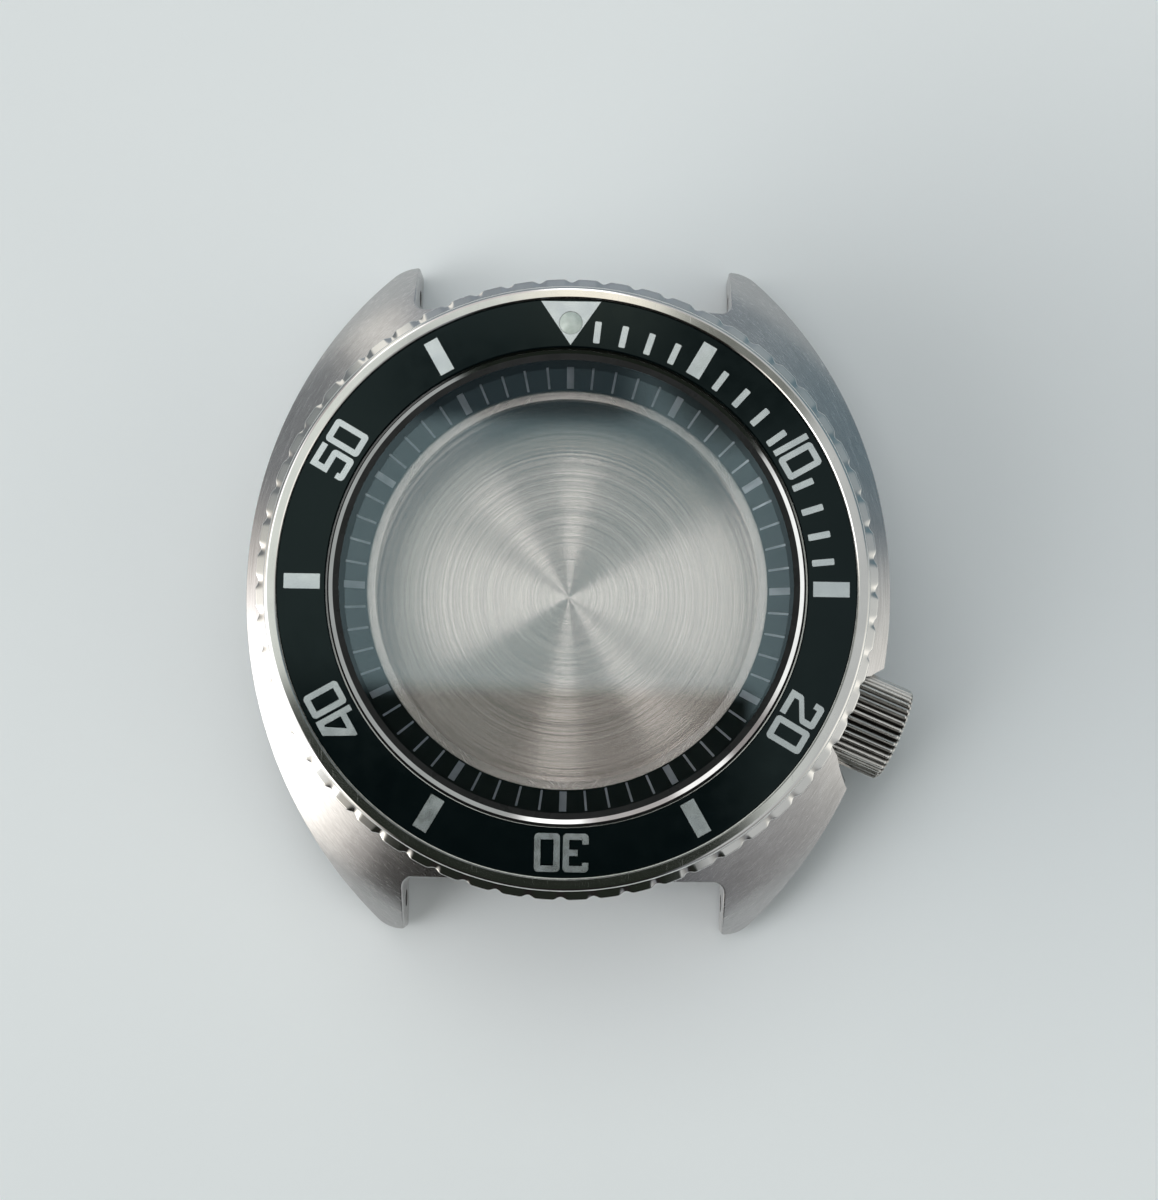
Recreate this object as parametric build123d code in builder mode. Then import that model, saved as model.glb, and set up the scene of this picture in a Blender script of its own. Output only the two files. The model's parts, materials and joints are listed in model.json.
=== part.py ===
from build123d import *
import math
import os

# Empty diver's watch case: cushion-shaped steel case with four lugs, turning bezel, crystal, chapter
# ring, screwed back and screwed crown. Millimetres. The origin is on the case's axis, in the flat face
# that the case back rests on. +Z points out of the crystal, +Y to 12 o'clock and +X to 3 o'clock.

overrun = 0.5
touch = 0.001

# Case outline, seen from above
flank_half_width = 22.15
flank_bow = 10.5
lug_gap = 22.0
lug_tip_reach = 23.4
strap_wall_reach = 19.6
lug_root_round = 0.8
lug_tip_round = 2.2
lug_tip_inner_round = 0.2

# Heights, stacked up from the face that the back rests on
back_thick = 1.97
back_seat_gap = 0.03
thread_depth = 1.95
bay_depth = 3.35
flange_thick = 1.0
chapter_room = 1.6
crystal_room = 1.1
neck_height = 2.7

# Outer form of the case, from the side
dome_start_radius = 20.0
flank_edge_drop = 1.5
lug_tip_drop = 5.9
lug_foot_height = 0.4
lug_foot_start = 18.6
lug_foot_length = 3.0
flank_widest_height = 4.6
flank_undercut = 3.2
edge_round = 0.12

# Bores of the case, from the crystal's side to the back
neck_radius = 17.0
crystal_seat_radius = 16.25
chapter_bore_radius = 15.55
flange_bore_radius = 12.95
bay_radius = 14.9
thread_bore_radius = 16.7
back_groove_radius = 17.55
back_groove_depth = 0.55
bezel_groove_depth = 0.4
bezel_groove_height = 0.8
bezel_groove_drop = 0.85

# Holes for the strap's spring bars
bar_hole_radius = 0.6
bar_hole_depth_at_12 = 1.2
bar_hole_depth_at_6 = 1.3
bar_hole_reach = 21.3
bar_hole_height = 2.4

# Case back
back_radius = 17.8
back_floor_thick = 1.3
back_pocket_radius = 13.7
back_step_height = 1.6
spigot_inner_radius = 15.2
spigot_height = 1.83
thread_clearance = 0.05
back_edge_chamfer = 0.35
wrench_notch_count = 6
wrench_notch_width = 2.6
wrench_notch_depth = 1.3
wrench_notch_height = 0.9
back_gasket_thick = 0.45
back_gasket_clearance = 0.06

# Crystal, its gasket and the chapter ring
crystal_radius = 15.7
crystal_thick = 2.8
crystal_bevel = 0.3
gasket_clearance = 0.02
gasket_foot_thick = 0.3
gasket_foot_width = 0.95
chapter_clearance = 0.05
chapter_inner_radius = 13.5
chapter_outer_radius = 15.25
chapter_lip = 0.3
chapter_top_gap = 0.05
tick_start_radius = 13.62
tick_length = 1.3
tick_width = 0.15
five_tick_width = 0.48
print_thick = 0.03
minute_count = 60

# Bezel
bezel_radius = 20.7
bezel_gap = 0.2
bezel_running_gap = 0.1
bezel_height = 4.05
bezel_roof_gap = 0.2
bezel_roof_thick = 0.75
bezel_opening_radius = 15.9
insert_recess_radius = 19.28
bezel_rim_width = 1.0
bezel_rim_round = 0.42
bezel_rim_height = 1.05
scallop_shelf_drop = 1.95
bezel_foot_chamfer = 0.2
scallop_count = 60
scallop_round = 0.4
scallop_depth = 0.23
bezel_gasket_gap = 0.1
bezel_gasket_squeeze = 0.05

# Click ball, its spring and the dimples that it drops into
ball_radius = 0.5
ball_clearance = 0.05
ball_orbit = 18.6
ball_protrusion = 0.42
dimple_clearance = 0.1
click_bore_depth = 2.8
click_wire_radius = 0.08
click_spring_turns = 6
spring_gap = 0.02

# Bezel insert and what is on it
insert_thick = 0.5
insert_clearance = 0.05
insert_edge_chamfer = 0.08
adhesive_thick = 0.05
adhesive_inset = 0.3
mark_start_radius = 16.3
five_mark_length = 2.4
five_mark_width = 1.0
minute_mark_length = 1.47
minute_mark_width = 0.43
minute_mark_round = 0.08
last_minute_mark = 14
triangle_apex_radius = 16.08
triangle_base_radius = 19.02
triangle_half_width = 2.0
pearl_radius = 0.76
pearl_orbit = 17.57
pearl_clearance = 0.02
pearl_dome_height = 0.22
lume_thick = 0.15
digit_height = 2.52
digit_width = 1.68
digit_stroke = 0.41
digit_round = 0.28
digit_gap = 0.2
four_width_share = 1.18

# Crown, on an axis below 3 o'clock
crown_angle = -22.5
crown_height = 5.0
crown_radius = 3.3
crown_reach = 24.65
crown_length = 4.35
crown_flute_count = 39
crown_flute_width = 0.32
crown_flute_depth = 0.24
crown_rim_chamfer = 0.25
crown_recess_radius = 3.75
crown_recess_gap = 0.2
recess_flare_start = 1.2
recess_flare_length = 1.6
recess_flare = 1.0
tube_shank_radius = 1.5
tube_shank_length = 2.9
tube_thread_radius = 1.7
tube_thread_length = 2.0
tube_bore_radius = 0.95
stem_hole_radius = 1.0
crown_thread_clearance = 0.05
crown_mouth_radius = 2.6
crown_washer_thick = 0.25
crown_washer_gap = 0.1
crown_gasket_thick = 0.4
crown_gasket_gap = 0.05
crown_mouth_depth = 0.75
crown_bore_depth = 2.1
crown_bush_thick = 0.2
crown_chamber_radius = 1.3
crown_roof_thick = 0.45
post_clearance = 0.05
post_head_thick = 0.4
post_inner_reach = 16.8
stem_thread_radius = 0.45
stem_thread_depth = 2.2
crown_wire_radius = 0.08
crown_spring_turns = 3

# Worked-out heights and radii
underside_height = back_thick + back_seat_gap
bay_floor = underside_height + thread_depth
flange_underside = bay_floor + bay_depth
flange_top = flange_underside + flange_thick
crystal_ledge = flange_top + chapter_room
neck_top = crystal_ledge + crystal_room
shoulder = neck_top - neck_height
flank_radius = flank_half_width + flank_bow
lug_inner = lug_gap / 2
lug_tip_radius = math.hypot(lug_inner, lug_tip_reach)
bezel_bottom = shoulder + bezel_gap
bezel_top = bezel_bottom + bezel_height
bezel_bore_radius = neck_radius + bezel_running_gap
bezel_roof = neck_top + bezel_roof_gap
insert_floor = bezel_roof + bezel_roof_thick
insert_bottom = insert_floor + adhesive_thick
insert_top = insert_bottom + insert_thick
groove_top = neck_top - bezel_groove_drop
groove_bottom = groove_top - bezel_groove_height
crystal_bottom = crystal_ledge + gasket_foot_thick
crystal_top = crystal_bottom + crystal_thick
chapter_top = crystal_ledge - chapter_top_gap
ball_height = shoulder + ball_protrusion - ball_radius
tube_shoulder_reach = crown_reach - crown_length - crown_recess_gap
tube_end_reach = tube_shoulder_reach + tube_thread_length
crown_foot_reach = crown_reach - crown_length
crown_bore_radius = tube_thread_radius + crown_thread_clearance
crown_bore_end = crown_foot_reach + crown_bore_depth
chamber_end = crown_reach - crown_roof_thick
post_radius = tube_bore_radius - post_clearance
post_head_radius = crown_chamber_radius - post_clearance

# The crown's axis, and a plane through it whose first direction is out from that axis
crown_direction = Vector(math.cos(math.radians(crown_angle)), math.sin(math.radians(crown_angle)), 0)
crown_centre = Vector(0, 0, crown_height)
crown_axis = Axis(crown_centre, crown_direction)
crown_section = Plane(crown_centre, x_dir=(0, 0, 1), z_dir=Vector(0, 0, 1).cross(crown_direction))


def crown_plane(reach):
    """A plane across the crown's axis, at a distance from the axis of the case."""
    return Plane(crown_centre + crown_direction * reach, x_dir=(0, 0, 1), z_dir=crown_direction)


def outline_on(plane, points):
    """A closed outline of (distance from the axis, height along it) points, as a face."""
    with BuildSketch(plane) as drawn:
        with BuildLine():
            Polyline(*points, close=True)
        make_face()
    return drawn.sketch


def turned(*points, mode=Mode.ADD):
    """Revolve an outline of (radius, height) points about the case's axis into the open part."""
    revolve(outline_on(Plane.XZ, points), axis=Axis.Z, mode=mode)


def crown_turned(*points, mode=Mode.ADD):
    """Revolve an outline of (radius, reach) points about the crown's axis into the open part."""
    revolve(outline_on(crown_section, points), axis=crown_axis, mode=mode)


def ring(inner, outer, low, high):
    """The outline of a plain ring with a square section."""
    return (inner, low), (outer, low), (outer, high), (inner, high)


def coil(start, direction, length, radius, wire, turns):
    """One unbroken tube wound along a direction, round a line that begins at the start."""
    with BuildPart() as wound:
        with BuildLine() as path:
            Helix(pitch=length / turns, height=length, radius=radius, center=start, direction=direction)
        with BuildSketch(path.line ^ 0):
            Circle(wire)
        sweep(is_frenet=True)
    return wound.part


def save(piece, name):
    """Label a finished piece and write it under its own name."""
    piece.part.label = name
    export_step(piece.part, f"parts/{name}.step")


os.makedirs("parts", exist_ok=True)

# Mid case: a lens of two bowed flanks, cut between the lugs, under a domed top
gap_depth = lug_tip_reach - strap_wall_reach + overrun
gap_middle = strap_wall_reach + gap_depth / 2
with BuildSketch(Plane.XY.offset(lug_foot_height)) as case_plan:
    with Locations((-flank_bow, 0)):
        Circle(flank_radius)
    with Locations((flank_bow, 0)):
        Circle(flank_radius, mode=Mode.INTERSECT)
    with Locations((0, gap_middle), (0, -gap_middle)):
        Rectangle(lug_gap, gap_depth, mode=Mode.SUBTRACT)
    with Locations((0, lug_tip_reach + flank_radius), (0, -lug_tip_reach - flank_radius)):
        Rectangle(flank_half_width * 2, flank_radius * 2, mode=Mode.SUBTRACT)
    root_corners = case_plan.vertices().filter_by(
        lambda corner: abs(abs(corner.Y) - strap_wall_reach) < touch)
    fillet(root_corners, radius=lug_root_round)
    tip_corners = case_plan.vertices().filter_by(
        lambda corner: abs(corner.Y) > lug_tip_reach - touch and abs(corner.X) > lug_inner + touch)
    fillet(tip_corners, radius=lug_tip_round)
    inner_tip_corners = case_plan.vertices().filter_by(
        lambda corner: abs(corner.Y) > lug_tip_reach - touch and abs(corner.X) < lug_inner + touch)
    fillet(inner_tip_corners, radius=lug_tip_inner_round)

with BuildPart() as mid_case:
    add(extrude(case_plan.sketch, amount=shoulder - lug_foot_height))
    with BuildSketch(Plane.XZ):
        with BuildLine():
            dome = ThreePointArc(
                (dome_start_radius, shoulder),
                (flank_half_width, shoulder - flank_edge_drop),
                (lug_tip_radius + overrun, shoulder - lug_tip_drop),
            )
            Polyline(dome @ 1, ((dome @ 1).X, 0), (0, 0), (0, shoulder), dome @ 0)
        make_face()
    revolve(axis=Axis.Z, mode=Mode.INTERSECT)
    with BuildSketch(Plane.YZ):
        foot_end = lug_foot_start + lug_foot_length
        for side in (1, -1):
            with BuildLine():
                Polyline(
                    (side * (lug_tip_reach + overrun), shoulder),
                    (side * (lug_tip_reach + overrun), lug_foot_height),
                    (side * foot_end, lug_foot_height),
                    (side * lug_foot_start, underside_height),
                    (0, underside_height),
                    (0, shoulder),
                    close=True,
                )
            make_face()
    extrude(amount=flank_half_width + overrun, both=True, mode=Mode.INTERSECT)
    with BuildSketch(Plane.XZ):
        for side in (1, -1):
            with BuildLine():
                Polyline(
                    (side * flank_half_width, flank_widest_height),
                    (side * (flank_half_width - flank_undercut), underside_height),
                    (side * (flank_half_width - flank_undercut), 0),
                    (side * (flank_half_width + overrun), 0),
                    (side * (flank_half_width + overrun), flank_widest_height),
                    close=True,
                )
            make_face()
    extrude(amount=lug_tip_reach, both=True, mode=Mode.SUBTRACT)
    dome_faces = mid_case.faces().filter_by(GeomType.REVOLUTION)
    rim_edges = dome_faces.edges().filter_by(lambda edge: edge.center().Z < shoulder - touch)
    fillet(rim_edges, radius=edge_round)
    turned(*ring(0, neck_radius, underside_height, neck_top))
    turned(
        (0, underside_height - overrun),
        (back_groove_radius, underside_height - overrun),
        (back_groove_radius, underside_height + back_groove_depth),
        (thread_bore_radius, underside_height + back_groove_depth),
        (thread_bore_radius, bay_floor),
        (bay_radius, bay_floor),
        (bay_radius, flange_underside),
        (flange_bore_radius, flange_underside),
        (flange_bore_radius, flange_top),
        (chapter_bore_radius, flange_top),
        (chapter_bore_radius, crystal_ledge),
        (crystal_seat_radius, crystal_ledge),
        (crystal_seat_radius, neck_top + overrun),
        (0, neck_top + overrun),
        mode=Mode.SUBTRACT,
    )
    turned(
        *ring(neck_radius - bezel_groove_depth, neck_radius + overrun, groove_bottom, groove_top),
        mode=Mode.SUBTRACT,
    )
    with Locations((-ball_orbit, 0, shoulder)):
        Cylinder(
            ball_radius + ball_clearance, click_bore_depth,
            align=(Align.CENTER, Align.CENTER, Align.MAX), mode=Mode.SUBTRACT,
        )
    flare_foot = tube_shoulder_reach + recess_flare_start
    flare_mouth = flare_foot + recess_flare_length
    crown_turned(
        (0, tube_shoulder_reach),
        (crown_recess_radius, tube_shoulder_reach),
        (crown_recess_radius, flare_foot),
        (crown_recess_radius + recess_flare, flare_mouth),
        (crown_recess_radius + recess_flare, crown_reach),
        (0, crown_reach),
        mode=Mode.SUBTRACT,
    )
    tube_foot_reach = tube_shoulder_reach - tube_shank_length
    crown_turned(
        *ring(0, tube_shank_radius, tube_foot_reach, tube_shoulder_reach + touch),
        mode=Mode.SUBTRACT,
    )
    crown_turned(*ring(0, stem_hole_radius, flange_bore_radius, tube_foot_reach + touch), mode=Mode.SUBTRACT)
    for side in (1, -1):
        for end, depth in ((1, bar_hole_depth_at_12), (-1, bar_hole_depth_at_6)):
            with Locations(
                    Location((side * lug_inner, end * bar_hole_reach, bar_hole_height), (0, side * 90, 0))):
                Cylinder(bar_hole_radius, depth * 2, mode=Mode.SUBTRACT)
save(mid_case, "mid_case")

# Case back: a flange with wrench notches, and a threaded spigot round a shallow pocket
with BuildPart() as case_back:
    turned(
        (0, 0),
        (back_radius - back_edge_chamfer, 0),
        (back_radius, back_edge_chamfer),
        (back_radius, back_thick),
        (thread_bore_radius - thread_clearance, back_thick),
        (thread_bore_radius - thread_clearance, back_thick + spigot_height),
        (spigot_inner_radius, back_thick + spigot_height),
        (spigot_inner_radius, back_step_height),
        (back_pocket_radius, back_step_height),
        (back_pocket_radius, back_floor_thick),
        (0, back_floor_thick),
    )
    with PolarLocations(back_radius, wrench_notch_count):
        Box(wrench_notch_depth * 2, wrench_notch_width, wrench_notch_height * 2, mode=Mode.SUBTRACT)
save(case_back, "case_back")

with BuildPart() as case_back_gasket:
    turned(*ring(
        thread_bore_radius,
        back_groove_radius - back_gasket_clearance,
        underside_height,
        underside_height + back_gasket_thick,
    ))
save(case_back_gasket, "case_back_gasket")

# Crystal with a bevelled edge, in its gasket with a foot under it
with BuildPart() as crystal:
    turned(
        (0, crystal_bottom),
        (crystal_radius, crystal_bottom),
        (crystal_radius, crystal_top - crystal_bevel),
        (crystal_radius - crystal_bevel, crystal_top),
        (0, crystal_top),
    )
save(crystal, "crystal")

with BuildPart() as crystal_gasket:
    turned(
        (crystal_seat_radius - gasket_foot_width, crystal_ledge),
        (crystal_seat_radius, crystal_ledge),
        (crystal_seat_radius, neck_top),
        (crystal_radius + gasket_clearance, neck_top),
        (crystal_radius + gasket_clearance, crystal_bottom),
        (crystal_seat_radius - gasket_foot_width, crystal_bottom),
    )
save(crystal_gasket, "crystal_gasket")

# Chapter ring: a sloped band with sixty printed ticks
chapter_slope = Vector(
    chapter_outer_radius - chapter_inner_radius, chapter_top - flange_top - chapter_lip).normalized()
with BuildPart() as chapter_ring:
    turned(
        (chapter_inner_radius, flange_top),
        (chapter_bore_radius - chapter_clearance, flange_top),
        (chapter_bore_radius - chapter_clearance, chapter_top),
        (chapter_outer_radius, chapter_top),
        (chapter_inner_radius, flange_top + chapter_lip),
    )
save(chapter_ring, "chapter_ring")

with BuildPart() as chapter_markings:
    band_start = Vector(chapter_inner_radius, flange_top + chapter_lip)
    band_start += chapter_slope * ((tick_start_radius - chapter_inner_radius) / chapter_slope.X)
    band_end = band_start + chapter_slope * (tick_length / chapter_slope.X)
    print_rise = Vector(-chapter_slope.Y, chapter_slope.X) * print_thick
    band = (band_start, band_end, band_end + print_rise, band_start + print_rise)
    turned(*[(corner.X, corner.Y) for corner in band])
    with BuildSketch(Plane.XY.offset(flange_top)):
        with PolarLocations(tick_start_radius + tick_length / 2, minute_count):
            Rectangle(tick_length * 2, tick_width)
        with PolarLocations(tick_start_radius + tick_length / 2, minute_count // 5):
            Rectangle(tick_length * 2, five_tick_width)
    extrude(amount=chapter_room, mode=Mode.INTERSECT)
save(chapter_markings, "chapter_markings")

# Bezel: scalloped rim, bevel, recess for the insert, bore and gasket groove, dimples under it
with BuildPart() as bezel:
    with BuildSketch(Plane.XY.offset(bezel_bottom)):
        Circle(bezel_radius)
        with PolarLocations(bezel_radius + scallop_round - scallop_depth, scallop_count):
            Circle(scallop_round, mode=Mode.SUBTRACT)
    extrude(amount=bezel_height)
    rim_radius = insert_recess_radius + bezel_rim_width
    turned(
        (bezel_bore_radius, bezel_bottom),
        (bezel_radius - bezel_foot_chamfer, bezel_bottom),
        (bezel_radius, bezel_bottom + bezel_foot_chamfer),
        (bezel_radius, bezel_top - scallop_shelf_drop),
        (rim_radius, bezel_top - bezel_rim_height),
        (rim_radius, bezel_top),
        (insert_recess_radius, bezel_top),
        (insert_recess_radius, insert_floor),
        (bezel_opening_radius, insert_floor),
        (bezel_opening_radius, bezel_roof),
        (bezel_bore_radius, bezel_roof),
        mode=Mode.INTERSECT,
    )
    top_edges = bezel.faces().sort_by(Axis.Z)[-1].edges().sort_by(SortBy.RADIUS)
    fillet(top_edges[-1], radius=bezel_rim_round)
    turned(
        *ring(0, bezel_bore_radius + bezel_groove_depth, groove_bottom - bezel_gasket_squeeze,
              groove_top + bezel_gasket_squeeze),
        mode=Mode.SUBTRACT,
    )
    with Locations((0, 0, ball_height)):
        with PolarLocations(ball_orbit, scallop_count):
            Sphere(ball_radius + dimple_clearance, mode=Mode.SUBTRACT)
save(bezel, "bezel")

with BuildPart() as bezel_gasket:
    turned(*ring(
        neck_radius - bezel_groove_depth,
        bezel_bore_radius + bezel_groove_depth - bezel_gasket_gap,
        groove_bottom + bezel_gasket_squeeze,
        groove_top - bezel_gasket_squeeze,
    ))
save(bezel_gasket, "bezel_gasket")

with BuildPart() as click_ball:
    with Locations((-ball_orbit, 0, ball_height)):
        Sphere(ball_radius)
save(click_ball, "click_ball")

click_floor = shoulder - click_bore_depth
click_coil_low = click_floor + click_wire_radius + spring_gap
click_coil_high = ball_height - ball_radius - click_wire_radius - spring_gap
with BuildPart() as click_spring:
    add(coil(
        Vector(-ball_orbit, 0, click_coil_low), Vector(0, 0, 1), click_coil_high - click_coil_low,
        ball_radius - click_wire_radius, click_wire_radius, click_spring_turns,
    ))
save(click_spring, "click_spring")

# Bezel insert, the glue under it, and the pearl at 12 o'clock
with BuildPart() as bezel_insert:
    insert_radius = insert_recess_radius - insert_clearance
    turned(
        (bezel_opening_radius + insert_clearance, insert_bottom),
        (insert_radius, insert_bottom),
        (insert_radius, insert_top - insert_edge_chamfer),
        (insert_radius - insert_edge_chamfer, insert_top),
        (bezel_opening_radius + insert_clearance + insert_edge_chamfer, insert_top),
        (bezel_opening_radius + insert_clearance, insert_top - insert_edge_chamfer),
    )
    with Locations((0, pearl_orbit, insert_bottom)):
        Cylinder(
            pearl_radius + pearl_clearance, insert_thick,
            align=(Align.CENTER, Align.CENTER, Align.MIN), mode=Mode.SUBTRACT,
        )
save(bezel_insert, "bezel_insert")

with BuildPart() as insert_adhesive:
    turned(*ring(
        bezel_opening_radius + adhesive_inset,
        insert_recess_radius - adhesive_inset,
        insert_floor,
        insert_bottom,
    ))
save(insert_adhesive, "insert_adhesive")

with BuildPart() as lume_dot:
    with Locations((0, pearl_orbit, insert_bottom)):
        Cylinder(pearl_radius, lume_thick, align=(Align.CENTER, Align.CENTER, Align.MIN))
save(lume_dot, "lume_dot")

with BuildPart() as pearl_lens:
    lens_bottom = insert_bottom + lume_thick
    pearl_section = Plane.XZ.offset(-pearl_orbit)
    with BuildSketch(pearl_section):
        with BuildLine():
            RadiusArc(
                (pearl_radius, insert_top), (0, insert_top + pearl_dome_height),
                -(pearl_radius ** 2 + pearl_dome_height ** 2) / (2 * pearl_dome_height),
            )
            Polyline(
                (0, insert_top + pearl_dome_height), (0, lens_bottom),
                (pearl_radius, lens_bottom), (pearl_radius, insert_top),
            )
        make_face()
    revolve(axis=Axis((0, pearl_orbit, 0), (0, 0, 1)))
save(pearl_lens, "pearl_lens")


def glyph(points, rounded):
    """A digit's outline as a face, with the listed corners rounded."""
    with BuildSketch() as drawn:
        with BuildLine():
            Polyline(*points, close=True)
        make_face()
        corners = [
            min(drawn.vertices(), key=lambda corner, point=points[number]: math.dist(
                (corner.X, corner.Y), point))
            for number in rounded
        ]
        fillet(corners, radius=digit_round)
    return drawn.sketch


def digit(sign):
    """The face of one block digit, with its lower left corner at zero."""
    wide = digit_width
    high = digit_height
    bar = digit_stroke
    if sign == "1":
        return glyph([(0, 0), (bar, 0), (bar, high), (0, high)], [])
    if sign == "2":
        foot_share, shoulder_share, hook_share, slope_share = 0.29, 0.6, 0.72, 0.33
        return glyph([
            (0, 0), (wide, 0), (wide, bar), (bar, bar), (bar, high * foot_share),
            (wide, high * shoulder_share), (wide, high), (0, high), (0, high * hook_share),
            (bar, high * hook_share), (bar, high - bar), (wide - bar, high - bar),
            (wide - bar, high * shoulder_share + bar * slope_share),
            (0, high * foot_share + bar * slope_share),
        ], [5, 6, 7, 13])
    if sign == "3":
        low_hook_share, high_hook_share, tongue_share = 0.28, 0.75, 0.42
        middle = high / 2
        return glyph([
            (0, 0), (wide, 0), (wide, high), (0, high), (0, high * high_hook_share),
            (bar, high * high_hook_share), (bar, high - bar), (wide - bar, high - bar),
            (wide - bar, middle + bar / 2), (wide * tongue_share, middle + bar / 2),
            (wide * tongue_share, middle - bar / 2), (wide - bar, middle - bar / 2),
            (wide - bar, bar), (bar, bar), (bar, high * low_hook_share), (0, high * low_hook_share),
        ], [0, 1, 2, 3])
    if sign == "4":
        foot_share, tip_share, apex_share = 0.18, 0.26, 0.51
        counter_start_share, counter_top_share = 1.6, 1.3
        wide = digit_width * four_width_share
        with BuildSketch() as four:
            add(glyph([
                (0, high * foot_share), (wide - bar, high * foot_share), (wide - bar, 0), (wide, 0),
                (wide, high), (wide * apex_share, high), (0, high * tip_share),
            ], []))
            sill = high * foot_share + bar
            add(glyph([
                (bar * counter_start_share, sill), (wide - bar, sill), (wide - bar, high - bar),
                (wide - bar * counter_top_share, high - bar),
            ], []), mode=Mode.SUBTRACT)
        return four.sketch
    if sign == "5":
        shoulder_share, hook_share = 0.65, 0.24
        return glyph([
            (0, 0), (wide, 0), (wide, high * shoulder_share), (bar, high * shoulder_share),
            (bar, high - bar), (wide, high - bar), (wide, high), (0, high),
            (0, high * shoulder_share - bar), (wide - bar, high * shoulder_share - bar),
            (wide - bar, bar), (bar, bar), (bar, high * hook_share), (0, high * hook_share),
        ], [0, 1, 2])
    with BuildSketch() as nought:
        add(glyph([(0, 0), (wide, 0), (wide, high), (0, high)], [0, 1, 2, 3]))
        add(glyph([
            (bar, bar), (wide - bar, bar), (wide - bar, high - bar), (bar, high - bar)], []),
            mode=Mode.SUBTRACT)
    return nought.sketch


def numeral(text):
    """Two digits side by side, middled, with their feet at zero."""
    widths = {"1": digit_stroke, "4": digit_width * four_width_share}
    spans = [widths.get(sign, digit_width) for sign in text]
    left = -(sum(spans) + digit_gap * (len(text) - 1)) / 2
    with BuildSketch() as drawn:
        for sign, span in zip(text, spans):
            with Locations((left, 0)):
                add(digit(sign))
            left += span + digit_gap
    return drawn.sketch


def at_minute(minute, radius):
    """Where a mark stands on the insert: its place, turned to face the middle."""
    turn = math.radians(90 - minute * 360 / minute_count)
    return Location(
        (radius * math.cos(turn), radius * math.sin(turn), 0), (0, 0, -minute * 360 / minute_count))


# Markings: triangle, wide marks and numerals by turns, and narrow marks for the first minutes
with BuildPart() as insert_markings:
    with BuildSketch(Plane.XY.offset(insert_top)):
        with BuildLine():
            Polyline(
                (0, triangle_apex_radius),
                (triangle_half_width, triangle_base_radius),
                (-triangle_half_width, triangle_base_radius),
                close=True,
            )
        make_face()
        with Locations((0, pearl_orbit)):
            Circle(pearl_radius + pearl_clearance, mode=Mode.SUBTRACT)
        for minute in range(5, minute_count, 10):
            with Locations(at_minute(minute, mark_start_radius + five_mark_length / 2)):
                Rectangle(five_mark_width, five_mark_length)
        for minute in range(1, last_minute_mark + 1):
            if minute % 5:
                with Locations(at_minute(minute, mark_start_radius + minute_mark_length / 2)):
                    RectangleRounded(minute_mark_width, minute_mark_length, minute_mark_round)
        for minute in range(10, minute_count, 10):
            with Locations(at_minute(minute, mark_start_radius)):
                add(numeral(str(minute)))
    extrude(amount=print_thick)
save(insert_markings, "insert_markings")

# Crown tube: a smooth shank fixed in the case, and a threaded end that the crown screws over
with BuildPart() as crown_tube:
    crown_turned(
        (tube_bore_radius, tube_foot_reach),
        (tube_shank_radius, tube_foot_reach),
        (tube_shank_radius, tube_shoulder_reach),
        (tube_thread_radius, tube_shoulder_reach),
        (tube_thread_radius, tube_end_reach),
        (tube_bore_radius, tube_end_reach),
    )
save(crown_tube, "crown_tube")

# Crown: fluted all round, hollow for the tube, the washer, the gasket and the sprung post
with BuildPart() as crown_cap:
    with BuildSketch(crown_plane(crown_foot_reach)):
        Circle(crown_radius)
        flute_mouth_half = crown_flute_width / 2 * (1 + overrun / crown_flute_depth)
        with PolarLocations(crown_radius, crown_flute_count):
            Polygon(
                (-crown_flute_depth, 0), (overrun, flute_mouth_half), (overrun, -flute_mouth_half),
                align=None, mode=Mode.SUBTRACT,
            )
    extrude(amount=crown_length)
    crown_turned(
        (crown_mouth_radius, crown_foot_reach),
        (crown_radius - crown_rim_chamfer, crown_foot_reach),
        (crown_radius, crown_foot_reach + crown_rim_chamfer),
        (crown_radius, crown_reach - crown_rim_chamfer),
        (crown_radius - crown_rim_chamfer, crown_reach),
        (0, crown_reach),
        (0, chamber_end),
        (crown_chamber_radius, chamber_end),
        (crown_chamber_radius, crown_bore_end),
        (crown_bore_radius, crown_bore_end),
        (crown_bore_radius, crown_foot_reach + crown_mouth_depth),
        (crown_mouth_radius, crown_foot_reach + crown_mouth_depth),
        mode=Mode.INTERSECT,
    )
save(crown_cap, "crown_cap")

with BuildPart() as crown_washer:
    crown_turned(*ring(
        tube_thread_radius + crown_washer_gap,
        crown_mouth_radius,
        crown_foot_reach,
        crown_foot_reach + crown_washer_thick,
    ))
save(crown_washer, "crown_washer")

with BuildPart() as crown_gasket:
    gasket_foot_reach = crown_foot_reach + crown_washer_thick + crown_gasket_gap
    crown_turned(*ring(
        tube_thread_radius + crown_thread_clearance,
        crown_mouth_radius - crown_gasket_gap,
        gasket_foot_reach,
        gasket_foot_reach + crown_gasket_thick,
    ))
save(crown_gasket, "crown_gasket")

with BuildPart() as crown_bush:
    crown_turned(*ring(
        tube_bore_radius,
        crown_bore_radius,
        crown_bore_end - crown_bush_thick,
        crown_bore_end,
    ))
save(crown_bush, "crown_bush")

# Post: a headed pin sprung inside the crown, tapped at its inner end for a winding stem
post_head_foot = crown_bore_end + spring_gap
with BuildPart() as crown_post:
    crown_turned(
        (0, post_inner_reach + stem_thread_depth),
        (stem_thread_radius, post_inner_reach + stem_thread_depth),
        (stem_thread_radius, post_inner_reach),
        (post_radius, post_inner_reach),
        (post_radius, post_head_foot),
        (post_head_radius, post_head_foot),
        (post_head_radius, post_head_foot + post_head_thick),
        (0, post_head_foot + post_head_thick),
    )
save(crown_post, "crown_post")

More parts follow.
